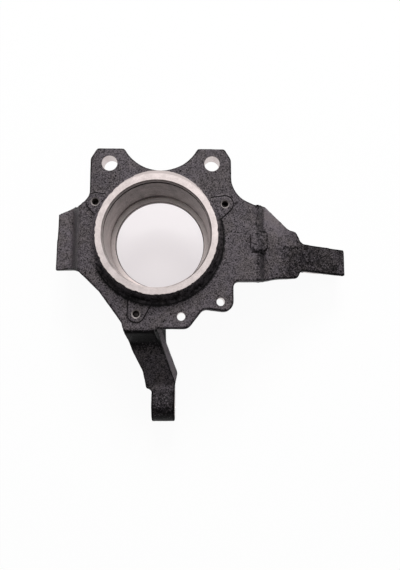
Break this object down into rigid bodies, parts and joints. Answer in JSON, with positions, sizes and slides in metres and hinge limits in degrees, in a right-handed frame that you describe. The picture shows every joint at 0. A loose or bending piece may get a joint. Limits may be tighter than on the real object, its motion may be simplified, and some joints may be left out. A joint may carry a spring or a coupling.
{
  "type": "steering knuckle",
  "caption": "Cast iron steering knuckle with a machined wheel bearing bore, caliper ears, strut arm, ball joint boss and steering arm.",
  "frame": {"origin": "on the wheel bearing axis, in the middle of the bearing seat", "axes": "+Z along the bearing axis out of the mouth that the bearing is pressed in from, towards the wheel; +Y towards the two caliper ears; +X along the strut arm"},
  "size_m": [0.2487, 0.2236, 0.072],
  "materials": {
    "cast_iron": "black coated rough casting, with bright turned bore, ring face and drilled holes"
  },
  "bodies": {
    "root": {"steering_knuckle": "cast_iron"}
  },
  "joints": []
}
